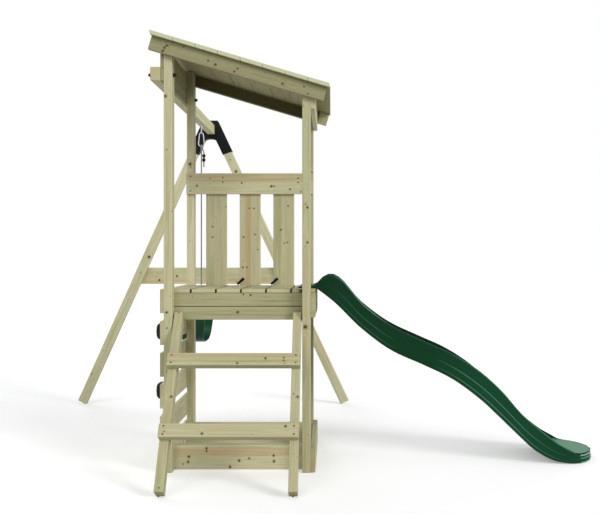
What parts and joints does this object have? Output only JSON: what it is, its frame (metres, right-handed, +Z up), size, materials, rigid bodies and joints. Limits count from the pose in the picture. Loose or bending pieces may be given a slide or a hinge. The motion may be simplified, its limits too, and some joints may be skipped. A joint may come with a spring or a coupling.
{
  "type": "play tower with slide and swing",
  "caption": "Small wooden play tower with a sloping board roof, climbing wall, leaning ladder and wave slide, and a swing on a beam carried by a splayed frame.",
  "frame": {"origin": "centre of the front left post's foot, on the ground", "axes": "+X toward the slide, +Y from the ladder toward the swing's frame, +Z up"},
  "size_m": [3.5009, 2.6609, 2.3703],
  "materials": {
    "pine": "planed, pressure treated, pale green yellow",
    "black_plastic": "moulded, slightly grained",
    "green_plastic": "moulded, glossy dark green",
    "steel": "galvanised",
    "rope": "twisted grey synthetic fibre"
  },
  "bodies": {
    "tower": {"baluster_1": "pine", "baluster_2": "pine", "baluster_3": "pine", "barge_board_back": "pine", "barge_board_front": "pine", "climbing_hold_1": "black_plastic", "climbing_hold_2": "black_plastic", "climbing_hold_3": "black_plastic", "deck_board_1": "pine", "deck_board_2": "pine", "deck_board_3": "pine", "deck_board_4": "pine", "deck_board_5": "pine", "deck_board_6": "pine", "deck_edge_board": "pine", "frame_brace": "pine", "frame_bracket": "black_plastic", "ground_board_back": "pine", "ground_board_front": "pine", "ground_board_right": "pine", "guard_rail": "pine", "header_left_lower": "pine", "header_left_upper": "pine", "header_right": "pine", "joist_back": "pine", "joist_front_lower": "pine", "joist_front_upper": "pine", "ladder_leg_left": "pine", "ladder_leg_right": "pine", "ladder_step_1": "pine", "ladder_step_2": "pine", "post_back_left": "pine", "post_back_right": "pine", "post_front_left": "pine", "post_front_right": "pine", "roof_board_1": "pine", "roof_board_2": "pine", "roof_board_3": "pine", "roof_board_4": "pine", "roof_board_5": "pine", "roof_board_6": "pine", "roof_board_7": "pine", "roof_board_8": "pine", "slide": "green_plastic", "swing_beam": "pine", "swing_eye_back": "steel", "swing_eye_front": "steel", "swing_leg_left": "pine", "swing_leg_right": "pine", "wall_board_1": "pine", "wall_board_2": "pine", "wall_board_3": "pine", "wall_board_4": "pine", "wall_board_5": "pine", "wall_board_6": "pine"},
    "swing": {"swing_link_back": "steel", "swing_link_front": "steel", "swing_rope_back": "rope", "swing_rope_front": "rope", "swing_seat": "green_plastic"}
  },
  "joints": [
    {"name": "swing_hinge", "type": "hinge", "parent": "tower", "child": "swing", "pos_m": [-0.0681, 1.355, 2.054], "axis": [0, 1, 0], "range_deg": [-60, 60]}
  ]
}
